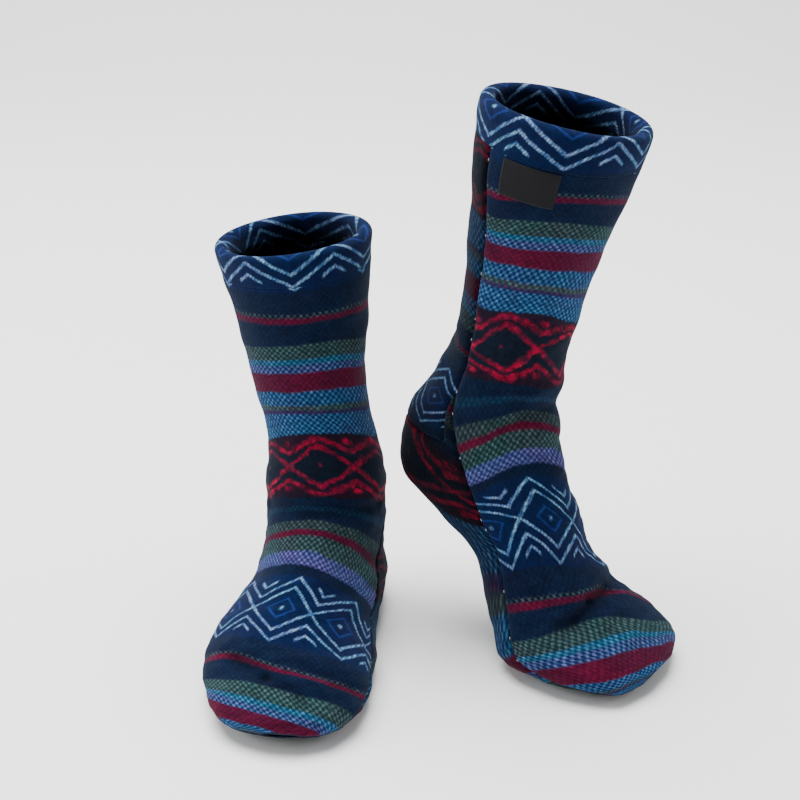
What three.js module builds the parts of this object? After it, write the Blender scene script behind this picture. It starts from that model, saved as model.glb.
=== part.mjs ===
// A pair of printed fleece socks, hollow and filled out as if worn.
// One stands flat on its sole, the other has its heel raised and leans on its toes.
// Each sock is a front panel, a back panel, a sole panel and a folded cuff band.
import * as THREE from 'three';

// Driving sizes in millimetres. +Z is up and the flat sock's toe points towards -Y.
const FLEECE = 3;
const BAND = 9.5;
const SEAM_GAP = 0.34;
const ANKLE_HEIGHT = 110;
const LABEL_LIFT = 0.5;
const LABEL_CLOTH = 1;

// Places along a sock, counted in sections from the rim of its cuff.
const CUFF_SEAM = 0.7;
const EAR_TIP = 6;
const TONGUE_END = 7.5;

// How finely the solids are divided.
const SECTION_STEP = 0.5;
const FRONT_COLUMNS = 14;
const BACK_COLUMNS = 8;
const EAR_COLUMNS = 1;
const HEEL_COLUMNS = 10;
const CUFF_FACETS = 30;
const CUFF_OUTSIDE_ROWS = 3;
const CUFF_INSIDE_ROWS = 2;
const RIM_STEPS = 4;
const SHORTEST_STEP = SECTION_STEP / 4;

// Each section is a ring round the leg or foot. It runs from a front point, on the shin or
// instep, to a back point, on the calf or sole, in the sock's own plane (x to the toe, z up).
// seam is where the front panel ends and heel where the back panel ends, in degrees from the front.
const SECTION_COLUMNS = [
  'frontX', 'frontZ', 'backX', 'backZ', 'halfWidth', 'soleRound', 'egg', 'shift', 'roll', 'seam', 'heel',
];
const FLAT_SECTIONS = [
  [70, 300.5, -42, 298, 54, 2, 0, -22, 6, 118, 118],
  [64, 268, -42, 266, 49.5, 2, 0, -18.5, 5, 114, 114],
  [56, 230, -42, 229, 44.5, 2, 0, -16.5, 4, 111, 111],
  [49, 190, -42, 190, 39.5, 2, 0, -13.5, 4, 109, 109],
  [45, 157, -42, 148, 38, 2, 0, -8, 3, 108, 108],
  [46, 130, -42, 112, 43, 2, 0, -4, 1, 106, 106],
  [50, 108, -47, 80, 44, 2, 0, -4, 0, 102, 106],
  [60, 93, -54, 52, 43.5, 2, 0.05, -5, 0, 92, 102],
  [76, 83, -58, 28, 44, 2.2, 0.08, -6, 0, 82, 96],
  [92, 74, -50, 6, 47, 2.4, 0.1, -7, 0, 78, 96],
  [108, 66, -15, 0, 50, 2.6, 0.12, -11, 0, 84, 98],
  [124, 59, 35, 0, 54, 2.8, 0.14, -16, 0, 90, 100],
  [140, 52, 78, 0, 58, 2.8, 0.14, -16, 0, 92, 102],
  [156, 46, 112, 0, 57, 2.8, 0.12, -14, 0, 95, 105],
  [170, 40, 140, 0, 53, 2.6, 0.1, -12, 0, 100, 108],
  [182, 33, 162, 1, 45, 2.4, 0.05, -11, 0, 106, 113],
  [190, 26, 178, 5, 33, 2.2, 0, -10, 0, 110, 116],
  [194.5, 19.5, 187.5, 11, 15, 2, 0, -8, 0, 102, 110],
];
const RAISED_SECTIONS = [
  [197, 384.5, 85, 405, 54, 2, 0, 0, -4.5, 118, 118],
  [185, 349, 80, 370, 53, 2, 0, 0, -2, 114, 114],
  [170, 310, 78, 329, 47, 2, 0, 0, 0, 111, 111],
  [157, 272, 74, 289, 42.5, 2, 0, 0, 0, 109, 109],
  [147, 238, 70, 254, 40, 2, 0, 0, 0, 108, 108],
  [141, 209, 63, 228, 39.5, 2, 0, 0, 0, 106, 106],
  [138, 186, 48, 200, 40, 2, 0, 0, 0, 102, 106],
  [140, 166, 29, 172, 40, 2, 0, 0, 0, 91, 101],
  [144, 148, 19, 145, 40, 2, 0, 0, 0, 82, 95],
  [149, 130, 21, 118, 40, 2.2, 0, 0, 0, 78, 93],
  [155, 113, 54, 94, 40.5, 2.4, 0, 0, 0, 84, 95],
  [159, 97, 91, 72, 42.5, 2.6, 0, 0, 0, 91, 100],
  [165, 80, 105, 43, 46, 2.8, 0, -2, 0, 92, 102],
  [173, 66, 117, 19, 52, 2.8, 0, -4, 0, 92, 102],
  [184, 55, 129, 4, 58, 2.8, 0, -5, 0, 97, 106],
  [198, 46, 152, 0, 60, 2.6, 0, -5, 0, 102, 110],
  [213, 38, 184, 0, 57, 2.4, 0, -4, 0, 108, 115],
  [225, 29, 214, 1, 48, 2.2, 0, -4, 0, 112, 118],
  [231.5, 23, 224, 3.5, 38, 2.1, 0, -4, 0, 110, 116],
  [236, 17, 230, 7, 21, 2, 0, -4, 0, 102, 110],
];

// The largest creases. Each runs between two places on the cloth, given as a section and an angle.
// A negative depth is a ridge.
const CREASE_COLUMNS = ['fromSection', 'fromAngle', 'toSection', 'toAngle', 'halfWidth', 'depth'];
const FLAT_CREASES = [
  [5.6, -50, 5.5, 62, 8, -1.6],
  [6.2, -64, 6.1, 70, 6, 2.2],
  [6.9, -52, 6.7, 60, 8, -1.4],
  [12.2, -44, 12.9, 50, 9, -1.8],
  [12.7, -36, 13.6, 66, 7, 2.6],
];
const RAISED_CREASES = [
  [5.3, -30, 5.4, 60, 8, -1.8],
  [6.0, -36, 6.1, 62, 6, 1.8],
  [6.8, -30, 6.9, 56, 8, -1.6],
  [13.2, -20, 13.3, 52, 9, -3.2],
  [14.2, -40, 13.9, 44, 7, 3.0],
];

const SOCKS = {
  flat: { yaw: -6, x: 0, y: 0, sections: FLAT_SECTIONS, creases: FLAT_CREASES },
  raised: { yaw: 55, x: 41, y: 29, sections: RAISED_SECTIONS, creases: RAISED_CREASES },
};

// The small woven label sits on the side of the raised sock, under its cuff.
const LABEL = { fromSection: 0.74, toSection: 1.33, fromAngle: -98, toAngle: -57.5, rows: 3, columns: 5 };

const MATERIALS = {
  frontPanel: new THREE.MeshStandardMaterial({ color: 0x232c52, roughness: 0.95, metalness: 0 }),
  backPanel: new THREE.MeshStandardMaterial({ color: 0x1d2340, roughness: 0.95, metalness: 0 }),
  solePanel: new THREE.MeshStandardMaterial({ color: 0x3a1f33, roughness: 0.95, metalness: 0 }),
  cuff: new THREE.MeshStandardMaterial({ color: 0x35507c, roughness: 0.95, metalness: 0 }),
  label: new THREE.MeshStandardMaterial({ color: 0x17181c, roughness: 0.8, metalness: 0 }),
};

const { degToRad, lerp } = THREE.MathUtils;
const signedPower = (value, power) => Math.sign(value) * Math.abs(value) ** power;

// A smooth curve through one column of the section table.
function blendColumn(sections, column, place) {
  const last = sections.length - 1;
  const index = Math.min(Math.floor(place), last - 1);
  const s = place - index;
  const here = sections[index][column];
  const next = sections[index + 1][column];
  const before = index > 0 ? sections[index - 1][column] : 2 * here - next;
  const after = index < last - 1 ? sections[index + 2][column] : 2 * next - here;
  const bend = 2 * before - 5 * here + 4 * next - after + s * (3 * (here - next) + after - before);
  return here + 0.5 * s * (next - before + s * bend);
}

function readSection(sock, place) {
  const section = {};
  SECTION_COLUMNS.forEach((name, column) => {
    section[name] = blendColumn(sock.sections, column, place);
  });
  section.centreX = (section.frontX + section.backX) / 2;
  section.centreZ = (section.frontZ + section.backZ) / 2;
  section.halfDepth = Math.hypot(section.frontX - section.backX, section.frontZ - section.backZ) / 2;
  section.leanX = (section.frontX - section.backX) / (2 * section.halfDepth);
  section.leanZ = (section.frontZ - section.backZ) / (2 * section.halfDepth);
  return section;
}

// A ring that crosses the leg or foot at a slant cuts the cloth at a slant too, so its wall
// measures more along the ring. The factor comes from the angle between ring and centre line.
const WIDEST_SLANT = 1.6;
const SLANT_REACH = 0.25;
function slantFactor(sock, place) {
  const last = sock.sections.length - 1;
  const before = readSection(sock, Math.max(place - SLANT_REACH, 0));
  const after = readSection(sock, Math.min(place + SLANT_REACH, last));
  const here = readSection(sock, place);
  const alongX = after.centreX - before.centreX;
  const alongZ = after.centreZ - before.centreZ;
  const cross = Math.abs(alongX * here.leanZ - alongZ * here.leanX) / Math.hypot(alongX, alongZ);
  return Math.min(1 / cross, WIDEST_SLANT);
}

// A point of the smooth cloth. depth goes from its outer face inwards.
const NARROWEST_HALF = 0.3;
function smoothPoint(sock, place, angle, depth) {
  const section = readSection(sock, place);
  const turn = degToRad(angle);
  const power = Math.cos(turn) >= 0 ? 1 : 2 / section.soleRound;
  const towardsFront = signedPower(Math.cos(turn), power);
  const towardsLeft = signedPower(Math.sin(turn), power);
  const reach = Math.max(section.halfDepth - depth * slantFactor(sock, place), NARROWEST_HALF);
  const width = Math.max(section.halfWidth - depth, NARROWEST_HALF);
  return new THREE.Vector3(
    section.centreX + section.leanX * reach * towardsFront,
    section.shift + width * towardsLeft * (1 - section.egg * towardsFront),
    section.centreZ + section.leanZ * reach * towardsFront + section.roll * towardsLeft,
  );
}

// The line of each crease, as points on the smooth cloth.
const CREASE_POINTS = 9;
function creaseLines(sock) {
  return sock.creases.map((row) => {
    const crease = Object.fromEntries(CREASE_COLUMNS.map((name, column) => [name, row[column]]));
    crease.points = Array.from({ length: CREASE_POINTS }, (_, step) => {
      const share = step / (CREASE_POINTS - 1);
      const place = lerp(crease.fromSection, crease.toSection, share);
      const angle = lerp(crease.fromAngle, crease.toAngle, share);
      return smoothPoint(sock, place, angle, 0);
    });
    return crease;
  });
}
for (const sock of Object.values(SOCKS)) {
  sock.creaseLines = creaseLines(sock);
}

function creaseDepth(sock, point) {
  let depth = 0;
  for (const crease of sock.creaseLines) {
    let nearest = Infinity;
    for (let i = 0; i < crease.points.length - 1; i += 1) {
      const segment = new THREE.Line3(crease.points[i], crease.points[i + 1]);
      const foot = segment.closestPointToPoint(point, true, new THREE.Vector3());
      nearest = Math.min(nearest, foot.distanceTo(point));
    }
    depth += crease.depth * Math.exp(-((nearest / crease.halfWidth) ** 2));
  }
  return depth;
}

// A point of the creased cloth, still in the sock's own plane.
function clothPoint(sock, place, angle, depth) {
  const crease = creaseDepth(sock, smoothPoint(sock, place, angle, 0));
  return smoothPoint(sock, place, angle, depth + crease);
}

// The angle of a cut edge: half a seam's gap square to the seam, on the panel's own side of it.
// edge names the column that holds the seam's angle.
const PROBE = 1;
const SEAM_REACH = 0.1;
const WIDEST_EDGE = 8;
function edgeAngle(sock, place, edge, depth, side) {
  const last = sock.sections.length - 1;
  const seamPoint = (at) => smoothPoint(sock, at, readSection(sock, at)[edge], depth);
  const before = seamPoint(Math.max(place - SEAM_REACH, 0));
  const along = seamPoint(Math.min(place + SEAM_REACH, last)).sub(before).normalize();
  const seamAngle = readSection(sock, place)[edge];
  const beside = smoothPoint(sock, place, seamAngle + side * PROBE, depth);
  const square = beside.sub(seamPoint(place)).cross(along).length();
  return seamAngle + side * Math.min((PROBE * SEAM_GAP) / 2 / square, WIDEST_EDGE);
}

// Builds a closed sheet of cloth from a grid of cells. cornerAt gives the outer or inner corner,
// and isCloth says which cells are there. Every open edge gets a wall between the two faces.
function sheetGeometry(rowCount, columnCount, cornerAt, isCloth = () => true) {
  const positions = [];
  const known = new Map();
  const corner = (row, column, inner) => {
    const key = `${row},${column},${inner}`;
    if (!known.has(key)) {
      known.set(key, positions.length / 3);
      positions.push(...cornerAt(row, column, inner).toArray());
    }
    return known.get(key);
  };
  const present = (row, column) => (
    row >= 0 && row < rowCount && column >= 0 && column < columnCount && isCloth(row, column)
  );
  const faces = [];
  const quad = (a, b, c, d) => faces.push(a, b, c, a, c, d);
  for (let row = 0; row < rowCount; row += 1) {
    for (let column = 0; column < columnCount; column += 1) {
      if (!present(row, column)) continue;
      const loop = [[row, column], [row + 1, column], [row + 1, column + 1], [row, column + 1]];
      const outer = loop.map(([i, j]) => corner(i, j, 0));
      const inner = loop.map(([i, j]) => corner(i, j, 1));
      const beyond = [[row, column - 1], [row + 1, column], [row, column + 1], [row - 1, column]];
      quad(...outer);
      quad(inner[0], inner[3], inner[2], inner[1]);
      beyond.forEach(([i, j], side) => {
        const end = (side + 1) % 4;
        if (!present(i, j)) quad(outer[side], inner[side], inner[end], outer[end]);
      });
    }
  }
  return indexedGeometry(positions, faces);
}

function indexedGeometry(positions, faces) {
  const geometry = new THREE.BufferGeometry();
  geometry.setAttribute('position', new THREE.Float32BufferAttribute(positions, 3));
  geometry.setIndex(faces);
  geometry.computeVertexNormals();
  return geometry;
}

// Section places from one seam to the next, with half a seam's gap left at each end.
function placesBetween(sock, from, to, openEnd) {
  const start = seamPlace(sock, from, 1);
  const finish = openEnd ? to : seamPlace(sock, to, -1);
  const places = [start];
  for (let k = Math.floor(from / SECTION_STEP) + 1; k * SECTION_STEP < finish - SHORTEST_STEP; k += 1) {
    if (k * SECTION_STEP > start + SHORTEST_STEP) places.push(k * SECTION_STEP);
  }
  places.push(finish);
  return places;
}

// Half a seam's gap beside a seam that runs round the leg, measured where sections lie closest.
function seamPlace(sock, place, side) {
  const gaps = [0, 90, 180, 270].map((angle) => {
    const here = smoothPoint(sock, place, angle, 0);
    return here.distanceTo(smoothPoint(sock, place + side * SEAM_REACH, angle, 0)) / SEAM_REACH;
  });
  return place + (side * SEAM_GAP) / 2 / Math.min(...gaps);
}

// Front of the leg, instep and top of the toe, in one length.
function frontPanel(sock) {
  const places = placesBetween(sock, CUFF_SEAM, sock.sections.length - 1, true);
  return sheetGeometry(places.length - 1, FRONT_COLUMNS, (row, column, inner) => {
    const place = places[row];
    const depth = inner * FLEECE;
    const edge = edgeAngle(sock, place, 'seam', depth, -1);
    const angle = lerp(-edge, edge, column / FRONT_COLUMNS);
    return clothPoint(sock, place, angle, depth);
  });
}

// Strip down the back of the leg, which ends above the heel.
function backPanel(sock) {
  const places = placesBetween(sock, CUFF_SEAM, TONGUE_END, false);
  return sheetGeometry(places.length - 1, BACK_COLUMNS, (row, column, inner) => {
    const place = places[row];
    const depth = inner * FLEECE;
    const edge = edgeAngle(sock, place, place < EAR_TIP ? 'seam' : 'heel', depth, 1);
    const angle = lerp(edge, 360 - edge, column / BACK_COLUMNS);
    return clothPoint(sock, place, angle, depth);
  });
}

// Heel cup, sole and underside of the toe, with an ear up each side between front and back.
function solePanel(sock) {
  const ear = placesBetween(sock, EAR_TIP, TONGUE_END, true);
  const heel = placesBetween(sock, TONGUE_END, sock.sections.length - 1, true);
  const places = [...ear.slice(0, -1), ...heel];
  const earRows = ear.length - 1;
  const columns = 2 * EAR_COLUMNS + HEEL_COLUMNS;
  const angleOf = (place, column, depth) => {
    const outerEdge = edgeAngle(sock, place, 'seam', depth, 1);
    const innerEdge = edgeAngle(sock, place, 'heel', depth, -1);
    if (column <= EAR_COLUMNS) return lerp(outerEdge, innerEdge, column / EAR_COLUMNS);
    const share = (column - EAR_COLUMNS) / HEEL_COLUMNS;
    if (share <= 1) return lerp(innerEdge, 360 - innerEdge, share);
    return lerp(360 - outerEdge, 360 - innerEdge, (columns - column) / EAR_COLUMNS);
  };
  const isCloth = (row, column) => (
    row >= earRows || column < EAR_COLUMNS || column >= EAR_COLUMNS + HEEL_COLUMNS
  );
  return sheetGeometry(places.length - 1, columns, (row, column, inner) => {
    const depth = inner * FLEECE;
    return clothPoint(sock, places[row], angleOf(places[row], column, depth), depth);
  }, isCloth);
}

// Band folded double over the top edge: a closed ring with a round rim.
function cuffBand(sock) {
  const seam = seamPlace(sock, CUFF_SEAM, -1);
  const fold = BAND / 2;
  const rise = smoothPoint(sock, 0, 90, 0).distanceTo(smoothPoint(sock, 1, 90, 0));
  const roundOver = fold / rise;
  const profile = [];
  for (let row = 0; row < CUFF_OUTSIDE_ROWS; row += 1) {
    profile.push({ place: lerp(seam, roundOver, row / CUFF_OUTSIDE_ROWS), depth: 0 });
  }
  for (let step = 0; step <= 2 * RIM_STEPS; step += 1) {
    const turn = (Math.PI * step) / (2 * RIM_STEPS);
    profile.push({ place: roundOver * (1 - Math.sin(turn)), depth: fold * (1 - Math.cos(turn)) });
  }
  for (let row = 1; row <= CUFF_INSIDE_ROWS; row += 1) {
    profile.push({ place: lerp(roundOver, seam, row / CUFF_INSIDE_ROWS), depth: BAND });
  }
  const positions = [];
  const faces = [];
  profile.forEach(({ place, depth }, step) => {
    for (let facet = 0; facet < CUFF_FACETS; facet += 1) {
      positions.push(...clothPoint(sock, place, (360 * facet) / CUFF_FACETS, depth).toArray());
      const index = (k, f) => (k % profile.length) * CUFF_FACETS + (f % CUFF_FACETS);
      const [a, b] = [index(step, facet), index(step + 1, facet)];
      const [c, d] = [index(step + 1, facet + 1), index(step, facet + 1)];
      faces.push(a, c, b, a, d, c);
    }
  });
  return indexedGeometry(positions, faces);
}

// Woven label, made from the panel's own points moved out.
function labelPatch(sock) {
  const { fromSection, toSection, fromAngle, toAngle, rows, columns } = LABEL;
  return sheetGeometry(rows, columns, (row, column, inner) => {
    const place = lerp(fromSection, toSection, row / rows);
    const angle = lerp(fromAngle, toAngle, column / columns);
    return clothPoint(sock, place, angle, -LABEL_LIFT - (1 - inner) * LABEL_CLOTH);
  });
}

const BUILDERS = {
  front_panel: [frontPanel, MATERIALS.frontPanel],
  back_panel: [backPanel, MATERIALS.backPanel],
  sole_panel: [solePanel, MATERIALS.solePanel],
  cuff: [cuffBand, MATERIALS.cuff],
};

// The sock's plane has x to its toe and y to its left. The turn brings the toe towards -Y.
function placeSock(name, sock) {
  const group = new THREE.Group();
  group.position.set(sock.x, sock.y, -ANKLE_HEIGHT);
  group.rotation.z = degToRad(sock.yaw - 90);
  for (const [piece, [builder, material]] of Object.entries(BUILDERS)) {
    const mesh = new THREE.Mesh(builder(sock), material);
    mesh.name = `${name}_${piece}`;
    group.add(mesh);
  }
  return group;
}

const flatSock = placeSock('flat', SOCKS.flat);
const raisedSock = placeSock('raised', SOCKS.raised);
const label = new THREE.Mesh(labelPatch(SOCKS.raised), MATERIALS.label);
label.name = 'raised_label';
raisedSock.add(label);

const pair = new THREE.Group();
pair.add(flatSock, raisedSock);

export default pair;
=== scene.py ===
"""Dresses a pair of printed fleece socks: shells of cloth, seams, a bare woven label and the print.

The print is drawn with maths over two distances that every point of the cloth carries: how far
down the printed length it lies and how far across it. Nothing is read from an image.
"""
import math

import bpy
import numpy as np
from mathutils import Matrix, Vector


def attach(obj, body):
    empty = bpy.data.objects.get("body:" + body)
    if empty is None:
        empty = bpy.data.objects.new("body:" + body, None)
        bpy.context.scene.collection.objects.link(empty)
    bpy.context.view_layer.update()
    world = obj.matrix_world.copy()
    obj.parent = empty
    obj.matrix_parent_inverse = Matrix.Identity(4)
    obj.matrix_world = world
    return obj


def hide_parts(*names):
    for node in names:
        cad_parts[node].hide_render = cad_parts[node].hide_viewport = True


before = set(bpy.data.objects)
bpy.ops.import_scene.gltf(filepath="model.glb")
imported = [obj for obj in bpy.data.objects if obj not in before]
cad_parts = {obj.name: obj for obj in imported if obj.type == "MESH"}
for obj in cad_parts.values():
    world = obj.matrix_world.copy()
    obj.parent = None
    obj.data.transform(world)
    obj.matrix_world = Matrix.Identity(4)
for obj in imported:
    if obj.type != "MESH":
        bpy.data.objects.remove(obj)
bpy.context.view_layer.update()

MM = 0.001

# Sizes of the socks in millimetres, as the frame has them.
FLEECE = 3.0
BAND = 9.5
ANKLE_HEIGHT = 110.0
LABEL_LIFT = 0.35
LABEL_CLOTH = 1.1

# Places along a sock, counted in sections from the rim of its cuff.
CUFF_SEAM = 0.7
EAR_TIP = 6.0
TONGUE_END = 7.5

# Each section is a ring round the leg or foot, from a front point to a back point in the sock's
# own plane. seam is where the front panel ends and heel where the back panel ends, in degrees.
SECTION_COLUMNS = (
    "frontX", "frontZ", "backX", "backZ", "halfWidth", "soleRound", "egg", "shift", "roll", "seam", "heel",
)
FLAT_SECTIONS = (
    (70, 300.5, -42, 298, 54, 2, 0, -22, 6, 118, 118),
    (64, 268, -42, 266, 49.5, 2, 0, -18.5, 5, 114, 114),
    (56, 230, -42, 229, 44.5, 2, 0, -16.5, 4, 111, 111),
    (49, 190, -42, 190, 39.5, 2, 0, -13.5, 4, 109, 109),
    (45, 157, -42, 148, 38, 2, 0, -8, 3, 108, 108),
    (46, 130, -42, 112, 43, 2, 0, -4, 1, 106, 106),
    (50, 108, -47, 80, 44, 2, 0, -4, 0, 102, 106),
    (60, 93, -54, 52, 43.5, 2, 0.05, -5, 0, 92, 102),
    (76, 83, -58, 28, 44, 2.2, 0.08, -6, 0, 82, 96),
    (92, 74, -50, 6, 47, 2.4, 0.1, -7, 0, 78, 96),
    (108, 66, -15, 0, 50, 2.6, 0.12, -11, 0, 84, 98),
    (124, 59, 35, 0, 54, 2.8, 0.14, -16, 0, 90, 100),
    (140, 52, 78, 0, 58, 2.8, 0.14, -16, 0, 92, 102),
    (156, 46, 112, 0, 57, 2.8, 0.12, -14, 0, 95, 105),
    (170, 40, 140, 0, 53, 2.6, 0.1, -12, 0, 100, 108),
    (182, 33, 162, 1, 45, 2.4, 0.05, -11, 0, 106, 113),
    (190, 26, 178, 5, 33, 2.2, 0, -10, 0, 110, 116),
    (194.5, 19.5, 187.5, 11, 15, 2, 0, -8, 0, 102, 110),
)
RAISED_SECTIONS = (
    (197, 384.5, 85, 405, 54, 2, 0, 0, -4.5, 118, 118),
    (185, 349, 80, 370, 53, 2, 0, 0, -2, 114, 114),
    (170, 310, 78, 329, 47, 2, 0, 0, 0, 111, 111),
    (157, 272, 74, 289, 42.5, 2, 0, 0, 0, 109, 109),
    (147, 238, 70, 254, 40, 2, 0, 0, 0, 108, 108),
    (141, 209, 63, 228, 39.5, 2, 0, 0, 0, 106, 106),
    (138, 186, 48, 200, 40, 2, 0, 0, 0, 102, 106),
    (140, 166, 29, 172, 40, 2, 0, 0, 0, 91, 101),
    (144, 148, 19, 145, 40, 2, 0, 0, 0, 82, 95),
    (149, 130, 21, 118, 40, 2.2, 0, 0, 0, 78, 93),
    (155, 113, 54, 94, 40.5, 2.4, 0, 0, 0, 84, 95),
    (159, 97, 91, 72, 42.5, 2.6, 0, 0, 0, 91, 100),
    (165, 80, 105, 43, 46, 2.8, 0, -2, 0, 92, 102),
    (173, 66, 117, 19, 52, 2.8, 0, -4, 0, 92, 102),
    (184, 55, 129, 4, 58, 2.8, 0, -5, 0, 97, 106),
    (198, 46, 152, 0, 60, 2.6, 0, -5, 0, 102, 110),
    (213, 38, 184, 0, 57, 2.4, 0, -4, 0, 108, 115),
    (225, 29, 214, 1, 48, 2.2, 0, -4, 0, 112, 118),
    (231.5, 23, 224, 3.5, 38, 2.1, 0, -4, 0, 110, 116),
    (236, 17, 230, 7, 21, 2, 0, -4, 0, 102, 110),
)

# Folds in the cloth: from one section and angle to another, with half width and depth in
# millimetres. A negative depth is a ridge. The first rows of each are the frame's own.
FLAT_FOLDS = (
    (5.6, -50, 5.5, 62, 8, -1.6),
    (6.2, -64, 6.1, 70, 6, 2.2),
    (6.9, -52, 6.7, 60, 8, -1.4),
    (12.2, -44, 12.9, 50, 9, -1.8),
    (12.7, -36, 13.6, 66, 7, 2.6),
    (4.7, 30, 5.1, 100, 5, 0.8),
    (7.5, 20, 8.6, 84, 6, 1.2),
    (7.9, 40, 9.4, 80, 5, -0.9),
    (5.0, -100, 4.8, -30, 5, 0.7),
    (2.1, 60, 2.5, 128, 7, 0.7),
    (1.9, -120, 2.3, -60, 7, 0.6),
    (5.2, 150, 5.4, 214, 5, 1.1),
    (5.9, 140, 5.8, 205, 6, -0.9),
    (4.4, 140, 4.3, 200, 7, -0.8),
    (3.3, 150, 3.5, 230, 6, 0.6),
    (7.4, -84, 8.9, -60, 6, 0.9),
    (10.9, 60, 12.0, 90, 6, 0.9),
    (14.3, -20, 14.8, 50, 7, -0.8),
    (12.4, -46, 13.7, -12, 4.5, 2.2),
    (13.7, -12, 14.6, 20, 5, 2.4),
    (14.6, 20, 14.3, 60, 5, 1.6),
    (12.9, -2, 13.9, 34, 6, -1.2),
)
RAISED_FOLDS = (
    (5.3, -30, 5.4, 60, 8, -1.8),
    (6.0, -36, 6.1, 62, 6, 1.8),
    (6.8, -30, 6.9, 56, 8, -1.6),
    (13.2, -20, 13.3, 52, 9, -3.2),
    (14.2, -40, 13.9, 44, 7, 3.0),
    (5.2, -92, 5.6, -40, 5, 0.9),
    (6.6, -88, 6.3, -38, 5, 1.0),
    (7.2, -70, 6.8, -20, 5, -0.8),
    (5.0, 60, 5.2, 120, 6, 0.9),
    (6.3, 66, 7.4, 98, 5, 1.0),
    (4.6, 150, 4.7, 225, 6, 0.9),
    (5.5, 140, 5.6, 215, 6, -0.9),
    (2.0, -125, 2.5, -80, 7, 0.7),
    (1.9, 40, 2.4, 110, 7, 0.7),
    (11.6, -84, 12.6, -50, 6, 1.0),
    (12.2, 40, 13.2, 84, 6, 1.1),
    (15.2, 8, 15.3, 60, 6, -0.9),
    (12.6, 150, 12.8, 212, 6, 1.2),
    (11.8, 150, 11.9, 210, 7, -0.9),
    (14.0, -44, 14.3, -30, 4, 1.4),
    (14.3, -30, 13.95, -8, 4, 2.0),
    (13.95, -8, 14.1, 20, 4, 1.8),
    (14.9, -14, 14.8, 36, 6, -1.0),
)

# Where the print's lines cross each front panel. The first column is the distance down the
# print, and the others are the sections where that line lies at the angles of the heading.
FLAT_PRINT_ANGLES = (-80, -40, 0, 40, 80)
FLAT_PRINT = (
    (29, 0.80, 0.76, 0.75, 0.76, 0.80),
    (54, 1.52, 1.42, 1.40, 1.44, 1.56),
    (74, 2.20, 2.00, 1.89, 1.95, 2.22),
    (107, 2.95, 2.68, 2.62, 2.67, 2.95),
    (129, 3.60, 3.30, 3.22, 3.35, 3.60),
    (150, 4.40, 3.95, 3.76, 3.90, 4.28),
    (175, 5.20, 4.80, 4.63, 4.77, 5.15),
    (200, 6.30, 5.80, 5.62, 5.72, 6.10),
    (230, 8.10, 7.30, 6.93, 7.50, 8.75),
    (251, 9.10, 8.30, 8.05, 8.90, 10.10),
    (297, 10.75, 10.40, 10.35, 10.85, 11.70),
    (350, 12.60, 12.50, 13.20, 13.55, 13.70),
    (370, 13.40, 13.70, 14.10, 14.45, 14.65),
    (391, 14.10, 14.80, 15.50, 15.90, 16.10),
    (402, 14.70, 15.55, 16.30, 16.60, 16.80),
    (416, 15.90, 16.80, 17.50, 17.70, 17.90),
)
RAISED_PRINT_ANGLES = (-100, -70, -40, -10, 20, 50, 80)
RAISED_PRINT = (
    (31, 0.86, 0.66, 0.61, 0.68, 0.80, 0.88, 0.92),
    (54, 1.42, 1.22, 1.12, 1.17, 1.31, 1.42, 1.50),
    (74, 1.76, 1.59, 1.52, 1.60, 1.78, 1.90, 2.00),
    (107, 2.35, 2.24, 2.18, 2.25, 2.41, 2.55, 2.65),
    (129, 2.90, 2.80, 2.78, 2.92, 3.08, 3.20, 3.30),
    (150, 3.44, 3.30, 3.26, 3.48, 3.72, 3.90, 4.00),
    (175, 4.45, 4.13, 4.05, 4.15, 4.40, 4.60, 4.80),
    (200, 5.25, 5.08, 5.02, 5.18, 5.44, 5.70, 5.90),
    (230, 8.20, 7.10, 6.40, 6.55, 7.25, 7.90, 8.60),
    (251, 9.30, 8.37, 7.55, 7.65, 8.40, 9.20, 9.90),
    (297, 10.50, 9.95, 9.80, 10.30, 11.10, 11.80, 12.40),
    (350, 12.30, 12.50, 12.95, 13.60, 14.10, 15.60, 16.00),
    (370, 13.40, 13.75, 14.15, 14.75, 16.10, 16.60, 17.00),
    (391, 14.40, 14.95, 15.65, 16.35, 17.10, 17.60, 18.00),
    (402, 15.20, 15.85, 16.50, 17.30, 18.40, 18.60, 18.70),
    (416, 16.20, 17.00, 18.10, 18.95, 19.20, 19.30, 19.40),
)

# The diamonds of each band: distance down the print, the angle of one diamond's middle, and the
# angle from one diamond to the next.
FLAT_DIAMONDS = ((7, 8, 60), (54, 8, 64), (175, 6, 67), (230, 4, 62), (297, -9, 57), (416, -9, 57))
RAISED_DIAMONDS = (
    (7, -58, 60), (54, -58, 64), (175, -72, 71), (230, -48, 60), (297, -24, 54), (416, -24, 54),
)

# The cuff is cut from the white band: distance down the print at its rim, midway and its swing
# round the leg, with the angle where it is lowest.
FLAT_RIM = (0, 3.5, 0)
RAISED_RIM = (-1, 5.7, 5)
# The cuff's zigzag: an angle round the leg and how many diamonds of the band lie before it.
FLAT_ZIGZAG = (
    (-56, -1), (-26, -0.5), (7, 0), (40, 0.5), (70, 1), (126, 1.5), (181, 2), (222, 2.5), (304, 4),
)
RAISED_ZIGZAG = (
    (-118, -1), (-92, -0.5), (-58, 0), (-26, 0.5), (2, 1), (72, 2.5), (108, 3), (142, 3.5), (176, 4),
    (242, 5),
)

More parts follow.
